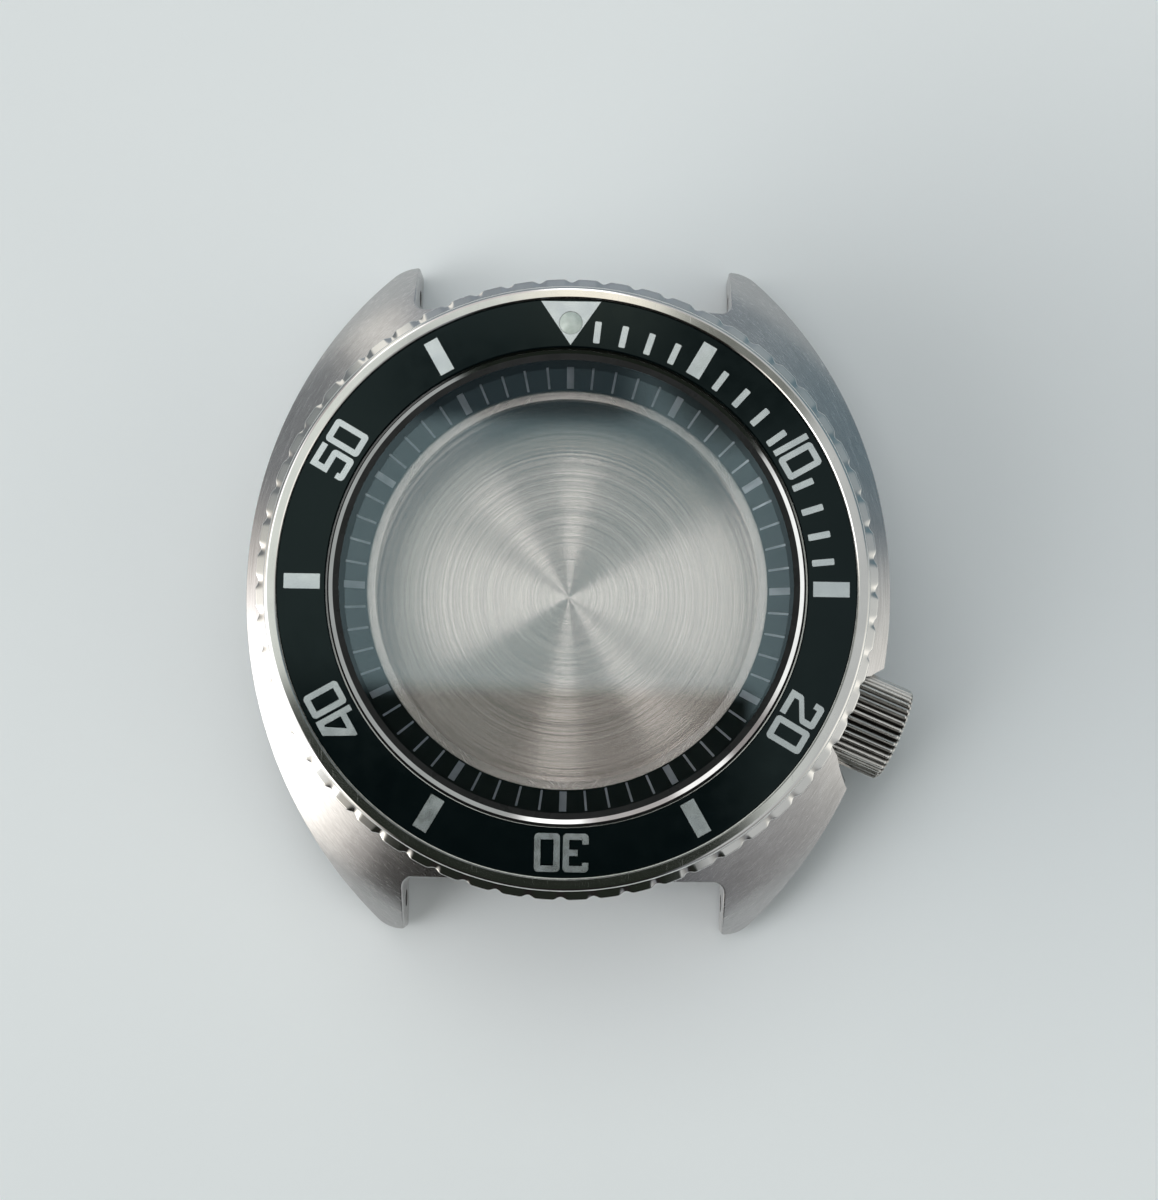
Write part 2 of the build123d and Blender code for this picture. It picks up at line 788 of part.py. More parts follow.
crown_coil_low = post_head_foot + post_head_thick + crown_wire_radius + spring_gap
crown_coil_high = chamber_end - crown_wire_radius - spring_gap
with BuildPart() as crown_spring:
    add(coil(
        crown_centre + crown_direction * crown_coil_low, crown_direction,
        crown_coil_high - crown_coil_low, post_head_radius - crown_wire_radius * 2,
        crown_wire_radius, crown_spring_turns,
    ))
save(crown_spring, "crown_spring")
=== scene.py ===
import json
import math

import bmesh
import bpy
from mathutils import Euler, Matrix, Vector

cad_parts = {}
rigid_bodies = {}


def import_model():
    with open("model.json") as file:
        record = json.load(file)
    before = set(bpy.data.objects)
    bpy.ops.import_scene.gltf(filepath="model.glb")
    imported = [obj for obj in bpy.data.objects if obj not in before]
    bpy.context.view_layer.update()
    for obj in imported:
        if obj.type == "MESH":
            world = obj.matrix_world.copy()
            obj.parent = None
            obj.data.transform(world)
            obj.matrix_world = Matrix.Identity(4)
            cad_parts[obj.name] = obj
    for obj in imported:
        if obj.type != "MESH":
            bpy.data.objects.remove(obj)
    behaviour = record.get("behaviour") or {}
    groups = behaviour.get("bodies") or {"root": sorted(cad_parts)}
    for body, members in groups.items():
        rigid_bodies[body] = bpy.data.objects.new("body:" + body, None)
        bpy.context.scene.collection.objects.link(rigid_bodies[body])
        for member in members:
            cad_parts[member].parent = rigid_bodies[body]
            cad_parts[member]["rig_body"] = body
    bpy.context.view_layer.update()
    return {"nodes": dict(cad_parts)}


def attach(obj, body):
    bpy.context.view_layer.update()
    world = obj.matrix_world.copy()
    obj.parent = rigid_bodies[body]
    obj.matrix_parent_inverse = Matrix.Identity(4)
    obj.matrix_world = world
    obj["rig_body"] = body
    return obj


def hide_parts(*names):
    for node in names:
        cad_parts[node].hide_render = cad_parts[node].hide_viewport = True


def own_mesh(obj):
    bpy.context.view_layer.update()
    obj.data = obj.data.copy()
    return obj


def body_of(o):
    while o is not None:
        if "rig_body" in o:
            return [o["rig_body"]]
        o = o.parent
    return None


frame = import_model()

mm = 0.001
# Points of a mesh that are closer than this, in metres, become one
weld = 1e-7

# Sizes are in millimetres and angles in degrees, unless a comment says otherwise.

# Bezel: a toothed wall, a shelf, the rim, and inside them the insert's recess and a groove
bezel_radius = 20.7
bezel_bottom = 8.5
bezel_top = 12.55
bezel_bore = 17.1
bezel_opening = 15.9
bezel_roof = 11.2
bezel_foot_chamfer = 0.2
bezel_foot_round = 0.05
shelf_edge = 11.8
shelf_round = 0.1
rim_radius = 20.12
rim_foot = 12.0
rim_foot_round = 0.02
rim_round = 0.3
recess_radius = 19.28
recess_floor = 11.95
recess_chamfer = 0.07
groove_radius = 17.5
groove_low = 9.3
groove_high = 10.2
scallops = 60
scallop_depth = 0.2
scallop_share = 0.5
scallop_start_past_rim = 0.1
scallop_full_below_edge = 0.15
steps_a_scallop = 20

# Crystal, with a dark ring and a bright bevel on its top edge, and its gasket
crystal_radius = 15.7
crystal_low = 10.2
crystal_high = 13.0
crystal_bevel = 0.3
crystal_mask = 0.42
crystal_foot_round = 0.03
crystal_edge_round = 0.02
seat_radius = 16.25
seat_ledge = 9.9
gasket_foot = 0.95
gasket_gap = 0.02
gasket_round = 0.1
gasket_foot_round = 0.05
neck_top = 11.0

# Chapter ring
chapter_inner = 13.5
chapter_outer = 15.25
chapter_foot = 8.3
chapter_lip = 8.6
chapter_top = 9.85
chapter_wall = 15.5
chapter_top_round = 0.04
chapter_lip_round = 0.06

# Crown, on an axis below 3 o'clock
crown_angle = -22.5
crown_height = 5.0
crown_radius = 3.3
crown_foot = 20.3
crown_end = 24.65
crown_chamfer = 0.25
crown_foot_round = 0.08
crown_side_round = 0.1
crown_end_round = 0.06
crown_mouth_radius = 2.6
crown_mouth_depth = 0.75
crown_bore_radius = 1.75
crown_bore_depth = 2.1
crown_chamber_radius = 1.3
crown_roof_thick = 0.45
crown_flutes = 39
flute_depth = 0.25
flute_share = 0.85
flute_start_below_edge = 0.3
flute_full_below_edge = 0.05
steps_a_flute = 12

# Faces that meet at more than this stay sharp in the shading
sharp_angle = 32

# A face looks up where the height of its normal is more than this
upward = 0.1


class Flow:
    """One output of a node. Sums on it add Math nodes to the same tree."""

    def __init__(self, tree, socket=None):
        self.tree = tree
        self.socket = socket

    def add(self, kind, settings=None, sockets=None, output=0):
        """Add a node, set it up, fill or link its sockets, and give one of its outputs."""
        node = self.tree.nodes.new(kind)
        for name, setting in (settings or {}).items():
            if name == "stops":
                steps = node.color_ramp.elements
                steps.remove(steps[1])
                steps[0].position, steps[0].color = setting[0]
                for place, colour in setting[1:]:
                    steps.new(place).color = colour
            else:
                setattr(node, name, setting)
        for name, given in (sockets or {}).items():
            if isinstance(given, Flow):
                self.tree.links.new(given.socket, node.inputs[name])
            else:
                node.inputs[name].default_value = given
        return Flow(self.tree, node.outputs[output] if node.outputs else None)

    def maths(self, operation, *others):
        """Arithmetic on this and more numbers."""
        sockets = dict(enumerate((self, *others)))
        return self.add("ShaderNodeMath", {"operation": operation}, sockets)

    def __add__(self, other):
        return self.maths("ADD", other)

    __radd__ = __add__

    def __sub__(self, other):
        return self.maths("SUBTRACT", other)

    def __rsub__(self, other):
        return self.add("ShaderNodeMath", {"operation": "SUBTRACT"}, {0: other, 1: self})

    def __mul__(self, other):
        return self.maths("MULTIPLY", other)

    __rmul__ = __mul__

    def __truediv__(self, other):
        return self.maths("DIVIDE", other)

    def __rtruediv__(self, other):
        return self.add("ShaderNodeMath", {"operation": "DIVIDE"}, {0: other, 1: self})

    def __abs__(self):
        return self.maths("ABSOLUTE")

    def smooth(self, low, high):
        """Rise softly from 0 to 1 while this goes from low to high."""
        return self.add("ShaderNodeMapRange", {"interpolation_type": "SMOOTHSTEP"},
                        {"Value": self, "From Min": low, "From Max": high})

    def blend(self, first, second):
        """Mix two colours by this."""
        return self.add("ShaderNodeMix", {"data_type": "RGBA"}, {0: self, 6: first, 7: second}, 2)

    def parts(self):
        """The three numbers of a vector."""
        split = self.add("ShaderNodeSeparateXYZ", None, {0: self})
        return [Flow(self.tree, socket) for socket in split.socket.node.outputs]

    def joined(self, across, up):
        """A vector of this and two more numbers."""
        return self.add("ShaderNodeCombineXYZ", None, {0: self, 1: across, 2: up})

    def vector(self, operation, *others):
        """Vector arithmetic on this and more vectors, or scaling of this by a number."""
        if operation == "SCALE":
            sockets = {0: self, 3: others[0]}
        else:
            sockets = dict(enumerate((self, *others)))
        output = int(operation == "DISTANCE")
        return self.add("ShaderNodeVectorMath", {"operation": operation}, sockets, output)

    def noise(self, scale, detail=2.0, roughness=0.5):
        """Soft random values over this vector."""
        return self.add("ShaderNodeTexNoise", None, {
            "Vector": self, "Scale": scale, "Detail": detail, "Roughness": roughness})


def rgb(red, green, blue):
    return (red, green, blue, 1.0)


def finish(name, colour, rough, metal=0.0, height=None, depth=0.0, lean=None, **constants):
    """A material. Its colour and roughness may be functions of the object's own coordinates.

    A height raises and sinks the surface by up to a depth in millimetres, and a lean tips its
    normal. The constants are more sockets of the shader, each the same all over the piece."""
    material = bpy.data.materials.new(name)
    material.use_nodes = True
    tree = material.node_tree
    tree.nodes.clear()
    start = Flow(tree)
    place = start.add("ShaderNodeTexCoord", output="Object")
    sockets = {"Metallic": metal}
    for socket, given in (("Base Color", colour), ("Roughness", rough)):
        sockets[socket] = given(place) if callable(given) else given
    if height:
        sockets["Normal"] = start.add("ShaderNodeBump", None, {
            "Strength": 1.0, "Distance": depth * mm, "Height": height(place)})
    if lean:
        tipped = start.add("ShaderNodeVectorTransform", {
            "vector_type": "VECTOR", "convert_from": "OBJECT", "convert_to": "WORLD",
        }, {0: lean(place)})
        plain = start.add("ShaderNodeNewGeometry", output="Normal")
        sockets["Normal"] = plain.vector("ADD", tipped).vector("NORMALIZE")
    for socket, given in constants.items():
        sockets[socket.replace("_", " ").title().replace("Ior", "IOR")] = given
    surface = start.add("ShaderNodeBsdfPrincipled", None, sockets)
    start.add("ShaderNodeOutputMaterial", None, {"Surface": surface})
    return material


# Most values of a noise lie between these two
noise_low = 0.3
noise_high = 0.7
drift_detail = 3.0


def tints(dark, light, scale):
    """A colour that drifts between two shades over the piece."""
    def colour(place):
        share = place.noise(scale, drift_detail).smooth(noise_low, noise_high)
        return share.blend(rgb(*dark), rgb(*light))
    return colour


def drifts(low, high, scale):
    """A number that drifts between two values over the piece."""
    def number(place):
        return place.noise(scale, drift_detail).smooth(noise_low, noise_high) * (high - low) + low
    return number


def from_axis(place):
    """Distance from the case's axis."""
    across, along, _ = place.parts()
    return (across * across + along * along).maths("SQRT")


# Brushed lines: bow of the case's flanks, then for fine and broad lines the cells a metre
# across them, the cells a radian along them, and their share
flank_bow = 10.5
fine_lines, fine_streaks, fine_share = 9000, 8, 0.7
broad_lines, broad_streaks, broad_share = 2200, 4, 0.3
# Values of the grain between which the case goes from dark to light, and its roughness with
# no grain and what full grain adds
grain_dark, grain_light = 0.36, 0.64
plain_rough, grain_rough = 0.19, 0.14


def outline_grain(place):
    """Fine lines that follow the bowed flanks of the case."""
    across, along, up = place.parts()
    out = abs(across) + flank_bow * mm
    reach = (out * out + along * along).maths("SQRT")
    turn = along.maths("ARCTAN2", out)
    fine = (reach * fine_lines).joined(turn * fine_streaks, up * fine_lines)
    broad = (reach * broad_lines).joined(turn * broad_streaks, up * broad_lines)
    return fine.noise(1.0, 4.0, 0.65) * fine_share + broad.noise(1.0, 2.0) * broad_share


# Turned lines: cells a metre, drift over a turn, and for the tilt of their grooves the cells a
# metre and the most that it tips the normal
turned_lines = 7000
turned_drift = 0.3
tilt_lines = 80000
tilt_most = 3.0
# Least distance from the axis, in metres, that a direction away from it is worked out for
least_reach = 1e-6


def turning_lines(place):
    """Fine circular lines about the case's axis, as a lathe leaves them."""
    across, along, up = place.parts()
    drift = along.maths("ARCTAN2", across).maths("SINE") * turned_drift
    rings = (from_axis(place) * turned_lines).joined(drift, up * turned_lines)
    return rings.noise(1.0, 4.0, 0.7)


def outwards(place, amount):
    """A vector of some length that points away from the case's axis."""
    across, along, _ = place.parts()
    share = amount / (from_axis(place) + least_reach)
    return (across * share).joined(along * share, 0.0)


def turned_lean(place):
    """The tilt of fine turned grooves along the radius, which spreads light across them."""
    tilt = (from_axis(place) * tilt_lines).joined(0.0, 0.0).noise(1.0, 2.0) - 0.5
    return outwards(place, tilt * tilt_most)


# Distances past the flange's edge between which its finish ends
flange_full = 0.02
flange_none = 0.08


def on_flange(place):
    """One on the turned inner flange of the case, and nothing outside it."""
    return 1 - from_axis(place).smooth(
        (chapter_inner + flange_full) * mm, (chapter_inner + flange_none) * mm)


# Heights between which brushing starts to flatten the case, and how far it tips the normal
flatter_from = 3.4
flatter_full = 7.4
flatter_most = 0.32


def case_lean(place):
    """The turned grooves of the flange, and lug tops that brushing has left a little flatter."""
    _, _, up = place.parts()
    flatter = up.smooth(flatter_from * mm, flatter_full * mm) * (1 - on_flange(place))
    flatter = flatter * flatter_most
    grooves = turned_lean(place).vector("SCALE", on_flange(place))
    return grooves.vector("ADD", (flatter * 0.0).joined(0.0, flatter))


# Depths in the crown's side, and distances from its end, between which the painted shade in a
# flute fades out
flute_dark = 0.22
flute_light = 0.06
flute_end_dark = 0.12
flute_end_light = 0.06


def painted_flute_shade(place):
    """Painted shade: one down in the crown's flutes, and nothing on its ridges and its end."""
    across, along, up = place.parts()
    turn = math.radians(crown_angle)
    side = along * math.cos(turn) - across * math.sin(turn)
    out = across * math.cos(turn) + along * math.sin(turn)
    high = up - crown_height * mm
    reach = (side * side + high * high).maths("SQRT")
    low = 1 - reach.smooth((crown_radius - flute_dark) * mm, (crown_radius - flute_light) * mm)
    return low * (1 - out.smooth(
        (crown_end - flute_end_dark) * mm, (crown_end - flute_end_light) * mm))


# How far the normal of the crystal's bevel is tipped away from the axis
bevel_tip = -0.94

# Scratches: direction in radians and fineness of each set, and cells a metre across and along
scratch_sets = ((0.6, 1.0), (2.1, 1.3))
scratch_across = 9000
scratch_along = 260
scratch_low = 0.71
scratch_high = 0.76


def scratches(place):
    """A few thin straight marks in two directions."""
    lines = None
    for turn, scale in scratch_sets:
        laid = place.add("ShaderNodeMapping", None, {
            "Vector": place, "Rotation": (0.0, 0.0, turn),
            "Scale": (scratch_across * scale, scratch_along * scale, scratch_along * scale)})
        marks = laid.noise(1.0, 1.0).smooth(scratch_low, scratch_high)
        lines = marks if lines is None else lines.maths("MAXIMUM", marks)
    return lines


def case_colour(place):
    """Brushed lines on the outside of the case, and one shade on its flange."""
    brushed = outline_grain(place).smooth(grain_dark, grain_light).blend(
        rgb(0.49, 0.48, 0.48), rgb(0.60, 0.59, 0.59))
    return on_flange(place).blend(brushed, rgb(0.55, 0.54, 0.53))


def case_rough(place):
    return outline_grain(place) * grain_rough + plain_rough


def bezel_rough(place):
    return scratches(place) * 0.07 + place.noise(500, 2.0) * 0.05 + 0.05


def back_colour(place):
    return turning_lines(place).smooth(noise_low, noise_high).blend(
        rgb(0.515, 0.495, 0.48), rgb(0.605, 0.585, 0.57))


def crown_colour(place):
    """Polished ridges, and painted shade down in the flutes."""
    ridges = tints((0.66, 0.64, 0.61), (0.72, 0.70, 0.67), 900)(place)
    # The near-black colour is painted shade in the flutes
    return painted_flute_shade(place).blend(ridges, rgb(0.05, 0.045, 0.04))


def bevel_lean(place):
    """The crystal's bevel, tipped towards the axis so that it catches the light."""
    return outwards(place, bevel_tip)


def rubber_grain(place):
    return place.noise(4000, 3.0)


case_steel = finish("case_steel", case_colour, case_rough, 1.0, lean=case_lean,
                    anisotropic=0.75, anisotropic_rotation=0.25)
bezel_steel = finish(
    "bezel_steel", tints((0.66, 0.655, 0.64), (0.71, 0.70, 0.685), 400), bezel_rough, 1.0)
back_steel = finish("back_steel", back_colour, drifts(0.10, 0.13, 200), 1.0, lean=turned_lean)
crown_steel = finish("crown_steel", crown_colour, drifts(0.26, 0.32, 1500), 1.0)
inner_steel = finish(
    "inner_steel", tints((0.54, 0.54, 0.545), (0.62, 0.62, 0.625), 700),
    drifts(0.22, 0.36, 1500), 1.0, turning_lines, 0.003)
insert_black = finish(
    "insert_black", tints((0.0018, 0.0042, 0.0048), (0.0028, 0.0056, 0.0062), 300),
    drifts(0.08, 0.12, 900), 0.0, specular_ior_level=0.24, specular_tint=rgb(0.75, 1.0, 1.0))
pearl = finish(
    "pearl", tints((0.50, 0.58, 0.53), (0.62, 0.70, 0.65), 2500),
    drifts(0.08, 0.16, 2500), 0.0, coat_weight=0.6, coat_roughness=0.05)
insert_print = finish(
    "insert_print", tints((0.55, 0.60, 0.62), (0.62, 0.67, 0.68), 700),
    drifts(0.18, 0.23, 1200), 0.93)
chapter_grey = finish(
    "chapter_grey", tints((0.005, 0.009, 0.010), (0.008, 0.012, 0.013), 600),
    drifts(0.35, 0.5, 900), 0.0, specular_ior_level=0.08)
chapter_print = finish(
    "chapter_print", tints((0.34, 0.40, 0.46), (0.42, 0.48, 0.54), 1200),
    drifts(0.35, 0.5, 1500), 0.3)
crystal_glass = finish(
    "crystal_glass", tints((0.985, 0.995, 0.99), (1.0, 1.0, 1.0), 60), 0.0,
    ior=1.77, transmission_weight=1.0, specular_tint=rgb(0.62, 0.83, 0.95))
polished_bevel = finish(
    "polished_bevel", tints((0.45, 0.46, 0.45), (0.51, 0.52, 0.51), 400),
    drifts(0.06, 0.09, 900), 1.0, lean=bevel_lean)
mask_black = finish(
    "mask_black", tints((0.012, 0.013, 0.013), (0.018, 0.019, 0.019), 800),
    drifts(0.25, 0.35, 900), 0.0, specular_ior_level=0.15)
lume = finish(
    "lume", tints((0.50, 0.56, 0.50), (0.60, 0.66, 0.60), 2500), drifts(0.4, 0.6, 2500), 0.0)
seal_rubber = finish(
    "seal_rubber", tints((0.012, 0.012, 0.013), (0.022, 0.022, 0.023), 1500),
    drifts(0.45, 0.65, 2000), 0.0, rubber_grain, 0.01)
adhesive = finish(
    "adhesive", tints((0.62, 0.58, 0.42), (0.72, 0.68, 0.52), 800), drifts(0.5, 0.7, 900), 0.0)

finishes = {
    "mid_case": case_steel, "crown_tube": inner_steel, "crystal": crystal_glass,
    "crystal_gasket": seal_rubber, "chapter_ring": chapter_grey,
    "chapter_markings": chapter_print, "bezel_gasket": seal_rubber,
    "click_spring": inner_steel, "bezel": bezel_steel, "bezel_insert": insert_black,
    "insert_adhesive": adhesive, "insert_markings": insert_print, "lume_dot": lume,
    "pearl_lens": pearl, "click_ball": inner_steel, "case_back_gasket": seal_rubber,
    "case_back": back_steel, "crown_gasket": seal_rubber, "crown_cap": crown_steel,
    "crown_washer": inner_steel, "crown_bush": inner_steel, "crown_spring": inner_steel,
    "crown_post": inner_steel,
}
for node, material in finishes.items():
    thing = frame["nodes"][node]
    if thing.material_slots:
        for slot in thing.material_slots:
            slot.material = material
    else:
        thing.data.materials.append(material)


def turning_rule():
    """The node tree that turns a profile about the axis, with notches cut in its outside."""
    tree = bpy.data.node_groups.new("turned_piece", "GeometryNodeTree")
    wanted = (
        ("Profile", "NodeSocketGeometry"), ("Steps", "NodeSocketInt"),
        ("Notches", "NodeSocketInt"), ("Notch depth", "NodeSocketFloat"),
        ("Notch share", "NodeSocketFloat"), ("Notch start", "NodeSocketFloat"),
        ("Notch full", "NodeSocketFloat"), ("Finish", "NodeSocketMaterial"),
    )
    for name, kind in wanted:
        tree.interface.new_socket(name, in_out="INPUT", socket_type=kind)
    tree.interface.new_socket("Piece", in_out="OUTPUT", socket_type="NodeSocketGeometry")
    start = Flow(tree)
    given = start.add("NodeGroupInput").socket.node
    profile, steps, notches, depth, share, begin, full, material = [
        Flow(tree, socket) for socket in given.outputs[:len(wanted)]]
    index = start.add("GeometryNodeInputIndex")
    count = start.add(
        "GeometryNodeAttributeDomainSize", {"component": "MESH"}, {"Geometry": profile})
    sheet = start.add(
        "GeometryNodeMeshGrid", None, {"Vertices X": steps + 1, "Vertices Y": count})
    column = ((index + 0.5) / count).maths("FLOOR")
    row = index - column * count
    here = start.add("GeometryNodeInputPosition")
    point = start.add(
        "GeometryNodeSampleIndex", {"data_type": "FLOAT_VECTOR", "domain": "POINT"},
        {"Geometry": profile, "Value": here, "Index": row})
    radius, _, height = point.parts()
    turn = column / steps
    off_middle = abs((turn * notches).maths("FRACT") - 0.5)
    notch = 1 - (0.5 - off_middle).smooth(0.0, share / 2)
    radius = radius - depth * notch * radius.smooth(begin, full)
    angle = turn * math.tau
    place = (radius * angle.maths("COSINE")).joined(radius * angle.maths("SINE"), height)
    bent = start.add("GeometryNodeSetPosition", None, {"Geometry": sheet, "Position": place})
    closed = start.add("GeometryNodeMergeByDistance", None, {"Geometry": bent, "Distance": weld})
    soft = start.add("GeometryNodeSetShadeSmooth", None, {"Geometry": closed})
    real = start.add("GeometryNodeRealizeInstances", None, {"Geometry": soft})
    dressed = start.add(
        "GeometryNodeSetMaterial", None, {"Geometry": real, "Material": material})
    start.add("NodeGroupOutput", None, {"Piece": dressed})
    return tree


turned_piece = turning_rule()


def rounded(corners, arc_steps=6, margin=0.03):
    """Points in metres of a profile of (radius, height, rounding) corners in millimetres.

    A point just before and after each arc keeps the faces beside it flat in the shading."""
    points = []
    for number, (radius, height, rounding) in enumerate(corners):
        corner = Vector((radius, height))
        if not rounding:
            points.append(corner * mm)
            continue
        before = (Vector(corners[number - 1][:2]) - corner).normalized()
        after = (Vector(corners[(number + 1) % len(corners)][:2]) - corner).normalized()
        half = before.angle(after) / 2
        middle = corner + (before + after).normalized() * rounding / math.sin(half)
        first = corner + before * rounding / math.tan(half) - middle
        last = corner + after * rounding / math.tan(half) - middle
        points.append((middle + first + before * margin) * mm)
        for step in range(arc_steps + 1):
            points.append((middle + first.slerp(last, step / arc_steps) * rounding) * mm)
        points.append((middle + last + after * margin) * mm)
    return points


def turned(name, corners, material, steps=360, closed=True, place=None, **notches):
    """Turn a profile with the node tree, and make the result a plain mesh."""
    points = rounded(corners)
    if closed:
        points.append(points[0])
    drawn = bpy.data.meshes.new(name + "_profile")
    drawn.from_pydata([(point.x, 0.0, point.y) for point in points], [], [])
    pattern = bpy.data.objects.new(name + "_profile", drawn)
    bpy.context.scene.collection.objects.link(pattern)
    modifier = pattern.modifiers.new("turn", "NODES")
    modifier.node_group = turned_piece
    values = {"Steps": steps, "Notches": 1, "Notch depth": 0.0, "Notch share": 0.5,
              "Notch start": 0.0, "Notch full": 1.0, "Finish": material}
    values.update(notches)
    for socket in turned_piece.interface.items_tree:
        if socket.name in values:
            modifier[socket.identifier] = values[socket.name]
    ready = pattern.evaluated_get(bpy.context.evaluated_depsgraph_get())
    mesh = bpy.data.meshes.new_from_object(ready)
    mesh.name = name
    bpy.data.objects.remove(pattern)
    bpy.data.meshes.remove(drawn)
    if place:
        mesh.transform(place)
    worked = bmesh.new()
    worked.from_mesh(mesh)
    bmesh.ops.recalc_face_normals(worked, faces=worked.faces)
    worked.to_mesh(mesh)
    worked.free()
    mesh.set_sharp_from_angle(angle=math.radians(sharp_angle))
    piece = bpy.data.objects.new(name, mesh)
    bpy.context.scene.collection.objects.link(piece)
    return piece


def top_faces(piece, low, high, material):
    """Give another finish to the upper faces between two radii in millimetres."""
    piece.data.materials.append(material)
    for face in piece.data.polygons:
        reach = math.hypot(face.center.x, face.center.y) / mm
        if face.normal.z > upward and low < reach < high:
            face.material_index = len(piece.data.materials) - 1


def stands_for(piece, node):
    """Put a made piece in the place of a node, on the node's body."""
    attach(piece, body_of(frame["nodes"][node])[0])
    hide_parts(node)


bezel = turned("turning_bezel", [
    (bezel_bore, bezel_bottom, 0),
    (bezel_radius - bezel_foot_chamfer, bezel_bottom, 0),
    (bezel_radius, bezel_bottom + bezel_foot_chamfer, bezel_foot_round),
    (bezel_radius, shelf_edge, shelf_round),
    (rim_radius, rim_foot, rim_foot_round),
    (rim_radius, bezel_top, rim_round),
    (recess_radius + recess_chamfer, bezel_top, 0),
    (recess_radius, bezel_top - recess_chamfer, 0),
    (recess_radius, recess_floor, 0),
    (bezel_opening, recess_floor, 0),
    (bezel_opening, bezel_roof, 0),
    (bezel_bore, bezel_roof, 0),
    (bezel_bore, groove_high, 0),
    (groove_radius, groove_high, 0),
    (groove_radius, groove_low, 0),
    (bezel_bore, groove_low, 0),
], bezel_steel, scallops * steps_a_scallop, **{
    "Notches": scallops, "Notch depth": scallop_depth * mm, "Notch share": scallop_share,
    "Notch start": (rim_radius + scallop_start_past_rim) * mm,
    "Notch full": (bezel_radius - scallop_full_below_edge) * mm})
stands_for(bezel, "bezel")

bevel_start = crystal_radius - crystal_bevel
crystal = turned("crystal_glass_disc", [
    (0, crystal_low, 0),
    (crystal_radius, crystal_low, crystal_foot_round),
    (crystal_radius, crystal_high - crystal_bevel, crystal_edge_round),
    (bevel_start, crystal_high, crystal_edge_round),
    (bevel_start - crystal_mask, crystal_high, 0),
    (0, crystal_high, 0),
], crystal_glass, closed=False)
top_faces(crystal, bevel_start - crystal_mask, bevel_start, mask_black)
top_faces(crystal, bevel_start, crystal_radius, polished_bevel)
stands_for(crystal, "crystal")

seal = turned("crystal_seal", [
    (seat_radius - gasket_foot, seat_ledge, 0),
    (seat_radius, seat_ledge, 0),
    (seat_radius, neck_top, gasket_round),
    (crystal_radius + gasket_gap, neck_top, gasket_round),
    (crystal_radius + gasket_gap, crystal_low, 0),
    (seat_radius - gasket_foot, crystal_low, gasket_foot_round),
], seal_rubber)
stands_for(seal, "crystal_gasket")

chapter = turned("chapter_band", [
    (chapter_inner, chapter_foot, 0),
    (chapter_wall, chapter_foot, 0),
    (chapter_wall, chapter_top, 0),
    (chapter_outer, chapter_top, chapter_top_round),
    (chapter_inner, chapter_lip, chapter_lip_round),
], chapter_grey)
stands_for(chapter, "chapter_ring")

crown_turn = math.radians(crown_angle)
crown_axis = Vector((math.cos(crown_turn), math.sin(crown_turn), 0))
crown_side = Vector((0, 0, 1)).cross(crown_axis)
crown_place = Matrix((
    (0, crown_side.x, crown_axis.x, 0),
    (0, crown_side.y, crown_axis.y, 0),
    (1, crown_side.z, crown_axis.z, crown_height * mm),
    (0, 0, 0, 1),
))
crown = turned("fluted_crown", [
    (0, crown_end - crown_roof_thick, 0),
    (crown_chamber_radius, crown_end - crown_roof_thick, 0),
    (crown_chamber_radius, crown_foot + crown_bore_depth, 0),
    (crown_bore_radius, crown_foot + crown_bore_depth, 0),
    (crown_bore_radius, crown_foot + crown_mouth_depth, 0),
    (crown_mouth_radius, crown_foot + crown_mouth_depth, 0),
    (crown_mouth_radius, crown_foot, 0),
    (crown_radius - crown_chamfer, crown_foot, crown_foot_round),
    (crown_radius, crown_foot + crown_chamfer, crown_side_round),
    (crown_radius, crown_end - crown_chamfer, crown_side_round),
    (crown_radius - crown_chamfer, crown_end, crown_end_round),
    (0, crown_end, 0),
], crown_steel, crown_flutes * steps_a_flute, False, crown_place, **{
    "Notches": crown_flutes, "Notch depth": flute_depth * mm, "Notch share": flute_share,
    "Notch start": (crown_radius - flute_start_below_edge) * mm,
    "Notch full": (crown_radius - flute_full_below_edge) * mm})
stands_for(crown, "crown_cap")


def springing(node):
    """A welded copy of a coil, put in the place of its node on the node's body."""
    mesh = frame["nodes"][node].data.copy()
    mesh.transform(frame["nodes"][node].matrix_world)
    worked = bmesh.new()
    worked.from_mesh(mesh)
    bmesh.ops.remove_doubles(worked, verts=worked.verts, dist=weld)
    worked.to_mesh(mesh)
    worked.free()
    coil = bpy.data.objects.new(node + "_coil", mesh)
    bpy.context.scene.collection.objects.link(coil)
    stands_for(coil, node)
    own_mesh(coil)


springing("click_spring")
springing("crown_spring")


# Light of the ceiling over half a turn, which the turned back shows as wedges: clock angle,
# level of red, and the share of it that green and blue have
light_wedges = (
    (0, 2.6, 1.0), (4, 2.6, 1.0), (8, 0.68, 0.87), (44, 0.64, 0.88), (52, 1.0, 0.95),
    (70, 1.2, 1.0), (74, 1.9, 1.0), (105, 1.9, 1.0), (110, 1.8, 1.0), (122, 1.8, 0.99),
    (130, 0.5, 0.90), (139, 0.5, 0.90), (142, 2.0, 0.98), (152, 2.0, 0.98),
    (155, 0.85, 0.93), (172, 0.8, 0.93), (175, 2.6, 1.0), (180, 2.6, 1.0),
)
